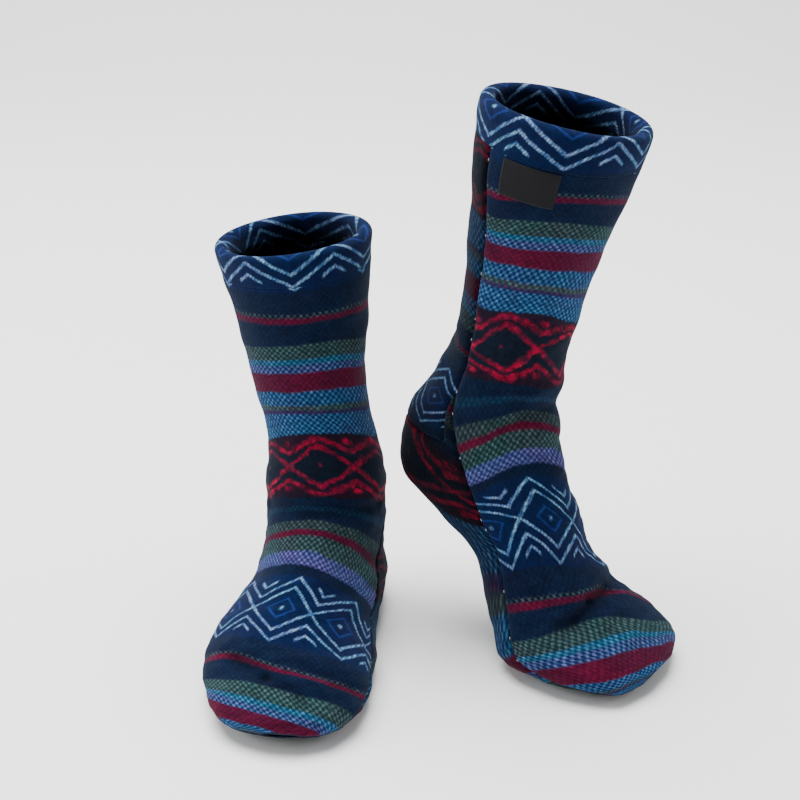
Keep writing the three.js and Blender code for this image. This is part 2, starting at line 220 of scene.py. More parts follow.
SOCKS = {
    "flat": dict(
        yaw=-6, x=0, y=0, sections=FLAT_SECTIONS, folds=FLAT_FOLDS, print=FLAT_PRINT,
        print_angles=FLAT_PRINT_ANGLES, diamonds=FLAT_DIAMONDS, rim=FLAT_RIM, zigzag=FLAT_ZIGZAG,
    ),
    "raised": dict(
        yaw=55, x=41, y=29, sections=RAISED_SECTIONS, folds=RAISED_FOLDS, print=RAISED_PRINT,
        print_angles=RAISED_PRINT_ANGLES, diamonds=RAISED_DIAMONDS, rim=RAISED_RIM, zigzag=RAISED_ZIGZAG,
    ),
}
LABEL = dict(from_section=0.74, to_section=1.33, from_angle=-98, to_angle=-57.5)


def blend_rows(rows, place):
    """Smooth values of every column of a table at places counted in rows."""
    table = np.asarray(rows, float)
    last = len(table) - 1
    index = np.clip(np.floor(place).astype(int), 0, last - 1)
    s = (place - index)[..., None]
    here = table[index]
    after_here = table[index + 1]
    before = np.where((index > 0)[..., None], table[np.maximum(index - 1, 0)], 2 * here - after_here)
    after = np.where(
        (index < last - 1)[..., None], table[np.minimum(index + 2, last)], 2 * after_here - here
    )
    bend = 2 * before - 5 * here + 4 * after_here - after + s * (3 * (here - after_here) + after - before)
    return here + 0.5 * s * (after_here - before + s * bend)


def read_sections(sock, place):
    """The section columns at each place, with the ring's middle, half depth and lean."""
    columns = blend_rows(sock["sections"], np.asarray(place, float))
    section = {name: columns[..., k] for k, name in enumerate(SECTION_COLUMNS)}
    section["centreX"] = (section["frontX"] + section["backX"]) / 2
    section["centreZ"] = (section["frontZ"] + section["backZ"]) / 2
    deep_x = section["frontX"] - section["backX"]
    deep_z = section["frontZ"] - section["backZ"]
    section["halfDepth"] = np.hypot(deep_x, deep_z) / 2
    section["leanX"] = deep_x / (2 * section["halfDepth"])
    section["leanZ"] = deep_z / (2 * section["halfDepth"])
    return section


WIDEST_SLANT = 1.6
SLANT_REACH = 0.25


def slant_factor(sock, place, here):
    """How much more a wall measures along a ring that crosses the leg or foot at a slant."""
    last = len(sock["sections"]) - 1
    before = read_sections(sock, np.clip(place - SLANT_REACH, 0, last))
    after = read_sections(sock, np.clip(place + SLANT_REACH, 0, last))
    along_x = after["centreX"] - before["centreX"]
    along_z = after["centreZ"] - before["centreZ"]
    cross = np.abs(along_x * here["leanZ"] - along_z * here["leanX"]) / np.hypot(along_x, along_z)
    return np.minimum(1 / cross, WIDEST_SLANT)


NARROWEST_HALF = 0.3


def smooth_points(sock, place, angle, depth):
    """Points of the smooth cloth in the sock's own plane. depth goes from its outer face inwards."""
    place, angle, depth = np.broadcast_arrays(
        np.asarray(place, float), np.asarray(angle, float), np.asarray(depth, float)
    )
    here = read_sections(sock, place)
    cos = np.cos(np.radians(angle))
    sin = np.sin(np.radians(angle))
    power = np.where(cos >= 0, 1, 2 / here["soleRound"])
    front = np.sign(cos) * np.abs(cos) ** power
    left = np.sign(sin) * np.abs(sin) ** power
    reach = np.maximum(here["halfDepth"] - depth * slant_factor(sock, place, here), NARROWEST_HALF)
    width = np.maximum(here["halfWidth"] - depth, NARROWEST_HALF)
    return np.stack((
        here["centreX"] + here["leanX"] * reach * front,
        here["shift"] + width * left * (1 - here["egg"] * front),
        here["centreZ"] + here["leanZ"] * reach * front + here["roll"] * left,
    ), -1)


FOLD_POINTS = 9


def fold_depth(sock, points):
    """How deep the folds press the cloth in at each point."""
    depth = np.zeros(points.shape[:-1])
    for from_section, from_angle, to_section, to_angle, half_width, deep in sock["folds"]:
        share = np.linspace(0, 1, FOLD_POINTS)
        line = smooth_points(
            sock, from_section + share * (to_section - from_section),
            from_angle + share * (to_angle - from_angle), 0,
        )
        nearest = np.full(points.shape[:-1], np.inf)
        for start, end in zip(line[:-1], line[1:]):
            step = end - start
            along = np.clip(((points - start) @ step) / (step @ step), 0, 1)
            foot = start + along[..., None] * step
            nearest = np.minimum(nearest, np.linalg.norm(points - foot, axis=-1))
        depth += deep * np.exp(-((nearest / half_width) ** 2))
    return depth


# Slow unevenness of filled cloth: waves along the sock, waves round it, lead and height in
# millimetres, each outwards or inwards.
SWELLS = ((0.42, 3, 0.4, 0.35), (0.9, 2, 2.1, 0.3), (1.7, 5, 1.2, 0.16), (0.63, -4, 3.3, 0.22))


def swell(place, angle):
    """Slow unevenness of the cloth at each point."""
    turn = np.radians(angle)
    return sum(
        height * np.sin(2 * math.pi * along * place + round_it * turn + lead)
        for along, round_it, lead, height in SWELLS
    )


def cloth_points(sock, place, angle, depth):
    """Points of the folded cloth in the sock's own plane."""
    smooth = smooth_points(sock, place, angle, 0)
    return smooth_points(sock, place, angle, depth + fold_depth(sock, smooth) + swell(place, angle))


def in_frame(sock, points):
    """Points of the sock's own plane, in millimetres, placed in the frame in metres."""
    turn = math.radians(sock["yaw"])
    forward = np.array((math.sin(turn), -math.cos(turn), 0))
    left = np.array((math.cos(turn), math.sin(turn), 0))
    up = np.array((0, 0, 1))
    moved = points[..., :1] * forward + points[..., 1:2] * left + points[..., 2:] * up
    return (moved + np.array((sock["x"], sock["y"], -ANKLE_HEIGHT))) * MM


def lengths_along(points, axis):
    """Distance from the start to each point, along one axis of a grid of points."""
    step = np.linalg.norm(np.diff(points, axis=axis), axis=-1)
    zero = np.zeros_like(np.take(step, [0], axis=axis))
    return np.cumsum(np.concatenate((zero, step), axis=axis), axis=axis)


def down_print(sock, place, angle):
    """How far down the print each place on the front panel lies, in millimetres."""
    rows = np.asarray(sock["print"], float)
    heading = np.asarray(sock["print_angles"], float)
    column = np.clip((angle - heading[0]) / (heading[1] - heading[0]), 0, len(heading) - 1)
    sections = blend_rows(rows[:, 1:].T, column)
    down = rows[:, 0]
    result = None
    for k in range(len(down) - 1):
        start = sections[..., k]
        rate = (down[k + 1] - down[k]) / (sections[..., k + 1] - start)
        value = down[k] + (place - start) * rate
        result = value if result is None else np.where(place >= start, value, result)
    return result


def diamonds_across(sock, down, angle):
    """How many diamonds each place lies from the middle of one of them."""
    rows = np.asarray(sock["diamonds"], float)
    middle = np.interp(down, rows[:, 0], rows[:, 1])
    pitch = np.interp(down, rows[:, 0], rows[:, 2])
    return (angle - middle) / pitch


def rim_down(sock, angle):
    """How far down the print the rim of the cuff lies, in millimetres."""
    middle, swing, lowest = sock["rim"]
    return middle + swing * np.cos(np.radians(angle - lowest))


def zigzag_across(sock, angle):
    """How many diamonds of the cuff's white band lie before each place round the leg."""
    rows = np.asarray(sock["zigzag"], float)
    first = rows[0]
    turns = np.floor((angle - first[0]) / 360)
    count = np.interp(angle - 360 * turns, rows[:, 0], rows[:, 1])
    return count + turns * (rows[-1, 1] - first[1])


SEAM_ROLL = 4.5
SEAM_DIP = 1.7
PUCKER = 0.28
PUCKER_PITCH = 7.0
PUCKER_DRIFT = 0.7
DRIFT_LENGTH = 23.0
CUFF_SEAM_SHARE = 0.02
HEM_DEPTH = 21.0
EDGE_SHARES = (0, 0.2, 0.42, 0.68, 1.0)


def edge_spaced(count, roll):
    """Shares from 0 to 1, closer together within the roll at either end."""
    start = [roll * share for share in EDGE_SHARES]
    middle = np.linspace(roll, 1 - roll, count)
    return np.array(start[:-1] + list(middle) + [1 - s for s in reversed(start[:-1])])


def seam_dip(distance, along):
    """How far the cloth rolls in beside a seam, with small puckers along it."""
    near = np.clip(1 - distance / SEAM_ROLL, 0, 1)
    pucker = PUCKER * np.sin(2 * math.pi * along / PUCKER_PITCH + PUCKER_DRIFT * np.sin(along / DRIFT_LENGTH))
    return SEAM_DIP * near ** 2 + pucker * near * (1 - near) * 2


def shell_mesh(name, outer, inner, marks_outer, marks_inner, is_cloth=None):
    """A closed shell of cloth between two grids of points, as an object with its print marks."""
    rows, columns = outer.shape[:2]
    present = np.ones((rows - 1, columns - 1), bool) if is_cloth is None else is_cloth
    index = np.arange(rows * columns).reshape(rows, columns)
    inside = rows * columns
    a, b = index[:-1, :-1], index[1:, :-1]
    c, d = index[1:, 1:], index[:-1, 1:]
    quads = [np.stack((a, b, c, d), -1)[present], np.stack((d, c, b, a), -1)[present] + inside]
    padded = np.pad(present, 1)
    sides = (
        (a, b, padded[1:-1, :-2]), (b, c, padded[2:, 1:-1]),
        (c, d, padded[1:-1, 2:]), (d, a, padded[:-2, 1:-1]),
    )
    for start, end, beyond in sides:
        open_edge = present & ~beyond
        quads.append(np.stack((start, start + inside, end + inside, end), -1)[open_edge])
    faces = np.concatenate(quads)
    points = np.concatenate((outer.reshape(-1, 3), inner.reshape(-1, 3)))
    marks = {
        key: np.concatenate((marks_outer[key].ravel(), marks_inner[key].ravel())) for key in marks_outer
    }
    used = np.unique(faces)
    renumber = np.zeros(len(points), int)
    renumber[used] = np.arange(len(used))
    return make_object(name, points[used], renumber[faces], {key: mark[used] for key, mark in marks.items()})


def make_object(name, points, faces, marks, domain="POINT"):
    """An object from points in metres and four-sided faces, with its marks on points or corners."""
    mesh = bpy.data.meshes.new(name)
    mesh.from_pydata(points.tolist(), [], faces.tolist())
    mesh.update()
    for key, values in marks.items():
        attribute = mesh.attributes.new(key, "FLOAT", domain)
        attribute.data.foreach_set("value", np.asarray(values, np.float32))
    mesh.polygons.foreach_set("use_smooth", [True] * len(mesh.polygons))
    piece = bpy.data.objects.new(name, mesh)
    bpy.context.scene.collection.objects.link(piece)
    return piece


ROWS_PER_SECTION = 15
FRONT_COLUMNS = 128
BACK_COLUMNS = 66
HEEL_COLUMNS = 70
EAR_COLUMNS = 9
# Rows and columns lie closer at a seam: within this many sections, or this share of the width.
SEAM_SECTIONS = 0.11
FRONT_EDGE = 0.022
BACK_EDGE = 0.05
HEEL_EDGE = 0.03
CUFF_EDGE = 0.2
LABEL_ROW_EDGE = 0.08
LABEL_COLUMN_EDGE = 0.05


def place_rows(start, end):
    """Places from start to end, evenly spread with closer rows at the seams round the leg."""
    count = int((end - start) * ROWS_PER_SECTION)
    return start + (end - start) * edge_spaced(count, SEAM_SECTIONS / (end - start))


def front_angles(sock, places):
    """Angles of the front panel's columns in each row."""
    edge = read_sections(sock, places)["seam"][:, None]
    share = edge_spaced(FRONT_COLUMNS, FRONT_EDGE)[None, :]
    return -edge + 2 * edge * share


def front_panel(name, sock):
    """Front of the leg, instep and top of the toe, in one length."""
    places = place_rows(CUFF_SEAM, len(sock["sections"]) - 1)
    angle = front_angles(sock, places)
    place = np.broadcast_to(places[:, None], angle.shape)
    smooth = smooth_points(sock, place, angle, 0)
    across = lengths_along(smooth, 1)
    along = lengths_along(smooth, 0)
    width = across[:, -1:]
    beside = np.minimum(across, width - across)
    dip = np.maximum(seam_dip(beside, along), CUFF_SEAM_SHARE * seam_dip(along, across))
    down = down_print(sock, place, angle)
    marks = dict(
        down=down, across=across - width / 2, diamond=diamonds_across(sock, down, angle),
        shade=np.ones_like(down),
    )
    return cloth_shell(f"{name}_front", sock, place, angle, dip, marks)


# Painted shade in creases: print in a fold is painted darker by this share for each millimetre of its depth.
FOLD_SHADE = 0.11
DARKEST_FOLD = 0.5
DEEPEST_BAND = -37.0
# Painted shade inside the sock: how light the inner face is painted, by distance below the rim and share.
INSIDE_SHADE = ((0, 1.0), (4, 0.8), (14, 0.45), (26, 0.22), (60, 0.16))


def from_table(rows, value):
    """What a table's second column says where its first column is the value."""
    table = np.asarray(rows, float)
    return np.interp(value, table[:, 0], table[:, 1])


def inside_marks(sock, place, angle, marks):
    """Print marks of the inner face, where the cuff's white band ends and plain navy goes on, and its painted
    shade.
    """
    below = lengths_along(smooth_points(sock, place, angle, 0), 0) + HEM_DEPTH
    down = np.maximum(rim_down(sock, angle) - below, DEEPEST_BAND)
    return dict(
        down=down, across=marks["across"], diamond=zigzag_across(sock, angle),
        shade=from_table(INSIDE_SHADE, below),
    )


def cloth_shell(name, sock, place, angle, dip, marks, is_cloth=None):
    """A panel's shell from its grid of places and angles."""
    outer = in_frame(sock, cloth_points(sock, place, angle, dip))
    inner = in_frame(sock, cloth_points(sock, place, angle, FLEECE))
    pressed = np.maximum(fold_depth(sock, smooth_points(sock, place, angle, 0)), 0)
    # Painted shade: the shade mark darkens the print where folds press the cloth in.
    marks["shade"] = marks["shade"] * np.maximum(1 - FOLD_SHADE * pressed, DARKEST_FOLD)
    return shell_mesh(name, outer, inner, marks, inside_marks(sock, place, angle, marks), is_cloth)


# The back panel's print runs the other way up: section and distance down the print.
BACK_PRINT = ((-0.5, 254), (1.2, 175), (6.3, 0), (7.8, -50))
BACK_DIAMOND_MIDDLE = 236.0
BACK_DIAMOND_PITCH = 62.0
# How light the print is on the back and the sole, partly a darker cloth and partly painted shade on the sides
# turned from the lights: section and share.
BACK_SHADE = ((0.7, 0.28), (3.6, 0.28), (5.2, 0.55), (7.5, 0.55))
SOLE_SHADE = ((6.0, 0.32), (11.0, 0.36), (14.0, 0.7), (19.0, 0.8))
# The sole's print starts with the red band at the heel and runs back up the print to the toe.
SOLE_PRINT = (
    (6.0, 236), (7.8, 196), (8.8, 175), (9.9, 150), (11.4, 132), (12.4, 126), (14.0, 114), (14.9, 99),
    (15.3, 91), (16.2, 74), (17.0, 56), (18.2, 31), (19.0, 10),
)
HEEL_DIAMOND_MIDDLE = 229.0
HEEL_DIAMOND_PITCH = 82.0
# The heel's print slants: sections for each degree away from the side, and where the slant ends.
HEEL_SLANT = 0.0185
HEEL_SIDE = 76.0
SLANT_FROM = 11.0
SLANT_FADE = 2.0
# The sole's seams lie flat where it rests: the height where they start to roll in, and the rise
# over which they come to roll in fully.
RESTING = 1.0
ROLL_RISE = 6.0


def back_panel(name, sock):
    """Strip down the back of the leg, which ends above the heel."""
    places = place_rows(CUFF_SEAM, TONGUE_END)
    here = read_sections(sock, places)
    edge = np.where(places < EAR_TIP, here["seam"], here["heel"])[:, None]
    share = edge_spaced(BACK_COLUMNS, BACK_EDGE)[None, :]
    angle = edge + (360 - 2 * edge) * share
    place = np.broadcast_to(places[:, None], angle.shape)
    smooth = smooth_points(sock, place, angle, 0)
    across = lengths_along(smooth, 1)
    along = lengths_along(smooth, 0)
    beside = np.minimum(across, across[:, -1:] - across)
    tongue = seam_dip(along[-1:, :] - along, across)
    dip = np.maximum(seam_dip(beside, along), np.maximum(tongue, CUFF_SEAM_SHARE * seam_dip(along, across)))
    down = from_table(BACK_PRINT, place)
    # The shade mark darkens the back: partly darker cloth, partly painted shade.
    marks = dict(
        down=down, across=across, diamond=(angle - BACK_DIAMOND_MIDDLE) / BACK_DIAMOND_PITCH,
        shade=from_table(BACK_SHADE, place),
    )
    return cloth_shell(f"{name}_back", sock, place, angle, dip, marks)


def sole_panel(name, sock):
    """Heel cup, sole and underside of the toe, with an ear up each side between front and back."""
    last = len(sock["sections"]) - 1
    ear_rows = int((TONGUE_END - EAR_TIP) * ROWS_PER_SECTION)
    heel_rows = int((last - TONGUE_END) * ROWS_PER_SECTION)
    places = np.concatenate((
        np.linspace(EAR_TIP, TONGUE_END, ear_rows, endpoint=False), np.linspace(TONGUE_END, last, heel_rows),
    ))
    here = read_sections(sock, places)
    seam, heel = here["seam"][:, None], here["heel"][:, None]
    ear_share = np.linspace(0, 1, EAR_COLUMNS + 1)[None, :]
    ear = seam + (heel - seam) * ear_share
    middle = heel + (360 - 2 * heel) * edge_spaced(HEEL_COLUMNS, HEEL_EDGE)[None, :]
    angle = np.concatenate((ear[:, :-1], middle, 360 - ear[:, -2::-1]), axis=1)
    place = np.broadcast_to(places[:, None], angle.shape)
    smooth = smooth_points(sock, place, angle, 0)
    across = lengths_along(smooth, 1)
    along = lengths_along(smooth, 0)
    width = across[:, -1:]
    beside = np.minimum(across, width - across)
    below_tongue = np.abs(along - along[ear_rows])
    on_ear = place < TONGUE_END
    ear_width = across[:, EAR_COLUMNS:EAR_COLUMNS + 1]
    inner_edge = np.abs(np.minimum(across, width - across) - ear_width)
    distance = np.where(on_ear, np.minimum(beside, inner_edge), beside)
    between = (angle > heel) & (angle < 360 - heel)
    distance = np.where(~on_ear & between, np.minimum(distance, below_tongue), distance)
    rests = np.clip((smooth[..., 2] - RESTING) / ROLL_RISE, 0, 1)
    dip = seam_dip(distance, along) * rests
    columns = np.arange(angle.shape[1] - 1)
    ear_column = (columns < EAR_COLUMNS) | (columns >= angle.shape[1] - 1 - EAR_COLUMNS)
    is_cloth = (np.arange(len(places) - 1)[:, None] >= ear_rows) | ear_column[None, :]
    slant = HEEL_SLANT * (np.abs(angle - 180) - HEEL_SIDE)
    down = from_table(SOLE_PRINT, place - slant * np.clip((SLANT_FROM - place) / SLANT_FADE, 0, 1))
    # The shade mark darkens the sole, most at the heel: partly darker cloth, partly painted shade.
    marks = dict(
        down=down, across=across - width / 2, diamond=(angle - HEEL_DIAMOND_MIDDLE) / HEEL_DIAMOND_PITCH,
        shade=from_table(SOLE_SHADE, place),
    )
    return cloth_shell(f"{name}_sole", sock, place, angle, dip, marks, is_cloth)


CUFF_COLUMNS = 200
CUFF_ROWS = 16
RIM_ROWS = 16
RIM_SWELL = 0.4
HEM_TAPER = 9.0
HEM_CURVE = 1.5
SEAM_GAP = 0.3


def cuff_band(name, sock):
    """Band folded double over the top edge: a closed ring with a round rim."""
    fold = BAND / 2
    side = smooth_points(sock, np.array((0.0, 1.0)), 90, 0)
    fold_top = fold / np.linalg.norm(side[1] - side[0])
    outside = CUFF_SEAM + (fold_top - CUFF_SEAM) * edge_spaced(CUFF_ROWS, CUFF_EDGE)
    turn = np.linspace(0, math.pi, RIM_ROWS + 1)[1:-1]
    places = np.concatenate((outside, fold_top * (1 - np.sin(turn)), outside[::-1]))
    depths = np.concatenate((np.zeros(len(outside)), fold * (1 - np.cos(turn)), np.full(len(outside), BAND)))
    around = np.linspace(-180, 180, CUFF_COLUMNS + 1)
    angle = np.broadcast_to(around, (len(places), len(around)))
    place = np.broadcast_to(places[:, None], angle.shape)
    depth = np.broadcast_to(depths[:, None], angle.shape)
    smooth = smooth_points(sock, place, angle, depth)
    along = lengths_along(smooth, 0)
    across = lengths_along(smooth, 1)
    middle = along[len(outside) + RIM_ROWS // 2]
    to_seam = np.minimum(along, along[-1:, :] - along)
    outer_side = depth < fold
    puff = RIM_SWELL * np.sin(math.pi * np.clip(to_seam / middle, 0, 1)) ** 2 * np.where(outer_side, -1, 1)
    hem = -(BAND - FLEECE - SEAM_GAP) * np.clip(1 - to_seam / HEM_TAPER, 0, 1) ** HEM_CURVE
    dip = np.where(outer_side, CUFF_SEAM_SHARE * seam_dip(to_seam, across), hem)
    points = in_frame(sock, cloth_points(sock, place, angle, depth + puff + dip))
    below_rim = middle[None, :] - along
    # The shade mark paints shade on the band's inner face, darker further below the rim.
    marks = dict(
        down=rim_down(sock, angle) + below_rim, across=across - across[:, -1:] / 2,
        diamond=zigzag_across(sock, angle), shade=from_table(INSIDE_SHADE, -below_rim),
    )
    rows, columns = place.shape
    corners = ring_faces(np.arange(rows * columns).reshape(rows, columns))
    ring = np.arange(rows * CUFF_COLUMNS).reshape(rows, CUFF_COLUMNS)
    faces = ring_faces(np.concatenate((ring, ring[:, :1]), axis=1))
    return make_object(
        f"{name}_cuff_band", points[:, :-1].reshape(-1, 3), faces,
        {key: mark.ravel()[corners.ravel()] for key, mark in marks.items()}, "CORNER",
    )


def grid_faces(index):
    """Faces of a grid from the numbers of its points."""
    return np.stack((index[:-1, :-1], index[:-1, 1:], index[1:, 1:], index[1:, :-1]), -1).reshape(-1, 4)


def ring_faces(index):
    """Faces of a closed tube from the numbers of its points, with its last row joined to its first."""
    return grid_faces(np.concatenate((index, index[:1]), axis=0))


LABEL_ROWS = 22
LABEL_COLUMNS = 40
LABEL_HEM = 1.6
HEM_RIDGE = 0.18
HEM_RIDGE_HALF = 0.8
LABEL_ROUNDING = 0.5
ROUNDING_WIDTH = 1.2


def label_patch(sock):
    """Woven label, sewn on flat with its edges turned under."""
    row_share = edge_spaced(LABEL_ROWS, LABEL_ROW_EDGE)[:, None]
    column_share = edge_spaced(LABEL_COLUMNS, LABEL_COLUMN_EDGE)[None, :]
    place = LABEL["from_section"] + (LABEL["to_section"] - LABEL["from_section"]) * row_share
    angle = LABEL["from_angle"] + (LABEL["to_angle"] - LABEL["from_angle"]) * column_share
    place, angle = np.broadcast_arrays(place, angle)
    smooth = smooth_points(sock, place, angle, 0)
    across = lengths_along(smooth, 1)
    along = lengths_along(smooth, 0)
    to_edge = np.minimum(
        np.minimum(across, across[:, -1:] - across), np.minimum(along, along[-1:, :] - along)
    )
    rounded = LABEL_ROUNDING * np.clip(1 - to_edge / ROUNDING_WIDTH, 0, 1) ** 2
    hem_ridge = -HEM_RIDGE * np.exp(-((to_edge - LABEL_HEM) / HEM_RIDGE_HALF) ** 2)
    lift = -LABEL_LIFT - LABEL_CLOTH + rounded + hem_ridge
    outer = in_frame(sock, cloth_points(sock, place, angle, lift))
    inner = in_frame(sock, cloth_points(sock, place, angle, -LABEL_LIFT))
    marks = dict(down=along, across=across)
    return shell_mesh("raised_woven_label", outer, inner, marks, marks)


STITCH_RADIUS = 0.3
STITCH_LENGTH = 2.0
STITCH_DEPTH = 1.1
STITCH_SIDES = 6
STITCH_RINGS = 5
STITCH_END = 0.04
# Stitches that show are this far apart, more or less by the scatter.
STITCH_PITCH = 31.0
STITCH_SCATTER = 12.0
SCATTER_TURN = 2.4
# The seam is followed by this many points. It starts below the cuff and ends before the toe by
# these shares of a section.
SEAM_POINTS = 400
BELOW_CUFF = 0.1
BEFORE_TOE = 1.2


def stitch_starts(length, side):
    """Distances along a seam of this length at which a stitch shows."""
    return [
        (k + 0.5) * STITCH_PITCH + STITCH_SCATTER * math.sin(SCATTER_TURN * k * k + side)
        for k in range(int(length / STITCH_PITCH))
    ]


def stitch(centre, ahead):
    """Rings of points round one short length of thread."""
    forward = (ahead - centre) / np.linalg.norm(ahead - centre)
    out = np.cross(forward, (0, 1, 0))
    out /= np.linalg.norm(out)
    turn = (np.arange(STITCH_SIDES) * 2 * math.pi / STITCH_SIDES)[:, None]
    ring = np.cos(turn) * out + np.sin(turn) * np.cross(forward, out)
    share = np.linspace(-1, 1, STITCH_RINGS)[:, None, None]
    radius = STITCH_RADIUS * np.sqrt(np.maximum(1 - share ** 4, STITCH_END))
    return centre + forward * share * STITCH_LENGTH / 2 + ring * radius


def seam_stitches(name, sock):
    """Short lengths of pale thread that show here and there along both seams of the front panel."""
    places = np.linspace(CUFF_SEAM + BELOW_CUFF, len(sock["sections"]) - 1 - BEFORE_TOE, SEAM_POINTS)
    seam = read_sections(sock, places)["seam"]
    threads = []
    for side in (-1, 1):
        line = cloth_points(sock, places, side * seam, STITCH_DEPTH)
        along = lengths_along(line, 0)
        for start in stitch_starts(along[-1], side):
            centre, ahead = (
                np.array([np.interp(reach, along, line[:, axis]) for axis in range(3)])
                for reach in (start, start + 1)
            )
            threads.append(stitch(centre, ahead))
    points = np.stack(threads)
    index = np.arange(points[..., 0].size).reshape(points.shape[:-1])
    index = np.concatenate((index, index[..., :1]), axis=-1)
    faces = np.concatenate([grid_faces(thread) for thread in index])
    return make_object(f"{name}_seam_thread", in_frame(sock, points.reshape(-1, 3)), faces, {})


class Amount:
    """A number that varies over the cloth. Its operators add Math nodes to the finish."""

    def __init__(self, finish, socket):
        self.finish = finish
        self.socket = socket

    def math(self, operation, *values):
        numbered = dict(enumerate(values))
        return self.finish.node("ShaderNodeMath", {"operation": operation}, numbered)

    def __add__(self, other):
        return self.math("ADD", self, other)

    def __sub__(self, other):
        return self.math("SUBTRACT", self, other)

    def __rsub__(self, other):
        return self.math("SUBTRACT", other, self)

    def __mul__(self, other):
        return self.math("MULTIPLY", self, other)

    def __truediv__(self, other):
        return self.math("DIVIDE", self, other)

    def __pow__(self, other):
        return self.math("POWER", self, other)

    def __abs__(self):
        return self.math("ABSOLUTE", self)

    def floor(self):
        return self.math("FLOOR", self)

    def sine(self):
        return self.math("SINE", self)

    def cosine(self):
        return self.math("COSINE", self)

    def folded(self, half):
        """Distance to the nearest whole multiple of twice the half."""
        return self.math("PINGPONG", self, half)

    def at_least(self, other):
        return self.math("MAXIMUM", self, other)

    def rise(self, start, end):
        """0 below start, 1 above end and a smooth step between."""
        return self.finish.node(
            "ShaderNodeMapRange", {"interpolation_type": "SMOOTHSTEP"},
            {"Value": self, "From Min": start, "From Max": end},
        )


SPECULAR = 0.03


class Finish:
    """A cloth material, whose look is worked out with nodes."""

    def __init__(self, name):
        self.material = bpy.data.materials.new(name)
        self.material.use_nodes = True
        self.nodes = self.material.node_tree.nodes
        self.links = self.material.node_tree.links
        self.shader = self.nodes["Principled BSDF"]

    def node(self, kind, settings, values, output=0):
        """One node with its settings, then the values or links of its sockets."""
        node = self.nodes.new(kind)
        for key, setting in settings.items():
            setattr(node, key, setting)
        for key, value in values.items():
            self.feed(node.inputs[key], value)
        return Amount(self, node.outputs[output])

    def feed(self, socket, value):
        """Sets a socket to a value or links it."""
        if isinstance(value, Amount):
            self.links.new(value.socket, socket)
        else:
            socket.default_value = value

    def mark(self, name):
        """A number that the mesh carries on its points."""
        return self.node("ShaderNodeAttribute", {"attribute_name": name}, {}, "Fac")

    def point(self, across, down, lift=0.0):
        """A place on the flat cloth."""
        return self.node("ShaderNodeCombineXYZ", {}, {0: across, 1: down, 2: lift})

    def noise(self, place, size, detail=2.0, roughness=0.5):
        """Soft noise from 0 to 1, with lumps of about the size given."""
        return self.node(
            "ShaderNodeTexNoise", {},
            {"Vector": place, "Scale": 1 / size, "Detail": detail, "Roughness": roughness},
        )

    def mix(self, share, first, second, blend="MIX"):
        """One colour turning into another."""
        return self.node(
            "ShaderNodeMix", {"data_type": "RGBA", "blend_type": blend, "clamp_factor": True},
            {0: share, 6: first, 7: second}, 2,
        )

    def shine(self, roughness, sheen, sheen_roughness, tint):
        """The constant parts of the finish."""
        sockets = self.shader.inputs
        sockets["Roughness"].default_value = roughness
        sockets["Specular IOR Level"].default_value = SPECULAR
        sockets["Sheen Weight"].default_value = sheen
        sockets["Sheen Roughness"].default_value = sheen_roughness
        sockets["Sheen Tint"].default_value = tint

    def relief(self, height, strength, distance):
        """Fine relief of the surface."""
        bump = self.node(
            "ShaderNodeBump", {}, {"Strength": strength, "Distance": distance, "Height": height}, "Normal"
        )
        self.feed(self.shader.inputs["Normal"], bump)


def paint(red, green, blue):
    """A colour given as the screen shows it, turned into light."""
    def light(value):
        value /= 255
        return value / 12.92 if value <= 0.04045 else ((value + 0.055) / 1.055) ** 2.4
    return (light(red), light(green), light(blue), 1.0)


NAVY = paint(8, 17, 38)
NIGHT = paint(12, 26, 46)
BAND_BLUE = paint(8, 20, 50)
CRIMSON = paint(58, 8, 30)
CRIMSON_TIP = paint(82, 14, 44)
GREEN = paint(17, 34, 38)
GREEN_TIP = paint(64, 86, 86)
TEAL = paint(10, 48, 68)
BLUE = paint(8, 31, 66)
BLUE_TIP = paint(60, 106, 144)
VIOLET = paint(31, 32, 75)
VIOLET_TIP = paint(90, 96, 142)
ASH = paint(30, 40, 46)
ASH_TIP = paint(62, 74, 74)
DARK_TEAL = paint(12, 18, 30)
RED_GROUND = paint(34, 8, 24)
RED_LINE = paint(148, 12, 50)
RED_SHADE = paint(84, 6, 30)
PALE = paint(122, 160, 190)
SKY = paint(60, 100, 152)
FAINT_BLUE = paint(28, 46, 104)
TEAL_CAST = (0.84, 1.06, 1.02, 1.0)
VIOLET_CAST = (1.14, 0.94, 1.0, 1.0)

# The printed length repeats. Each row is where a stripe starts, its ground colour and the colour
# of the specks of its printed knit.
REPEAT = 297.0
REPEAT_START = -31
STRIPES = (
    (REPEAT_START, BAND_BLUE, BAND_BLUE),
    (31, NAVY, NIGHT),
    (49, NAVY, ASH_TIP),
    (52, CRIMSON, CRIMSON_TIP),
    (56.5, NAVY, NIGHT),
    (74, GREEN, GREEN_TIP),
    (87, TEAL, BLUE_TIP),
    (92, BLUE, VIOLET_TIP),
    (99, CRIMSON, CRIMSON_TIP),
    (114, BLUE, BLUE_TIP),
    (125, ASH, GREEN_TIP),
    (129, BLUE, CRIMSON_TIP),
    (132, BLUE, BLUE_TIP),
    (150, DARK_TEAL, DARK_TEAL),
    (200, NAVY, NIGHT),
    (207, NIGHT, TEAL),
    (211, NAVY, NIGHT),
    (219, GREEN, ASH_TIP),
    (227, CRIMSON, CRIMSON_TIP),
    (232, GREEN, GREEN_TIP),
    (245, VIOLET, VIOLET_TIP),
    (257, NAVY, NIGHT),
)
EDGE_SOFT = 2.2

KNIT_ACROSS = 4.3
KNIT_ROW = 2.5


def knit_specks(across, down):
    """Soft specks of a printed knit in staggered rows, 0 between them and 1 on them."""
    sideways = across * (2 * math.pi / KNIT_ACROSS)
    downward = down * (math.pi / KNIT_ROW)
    lattice = (sideways + downward).cosine() + (sideways - downward).cosine()
    return lattice.rise(-1.1, 2.0)


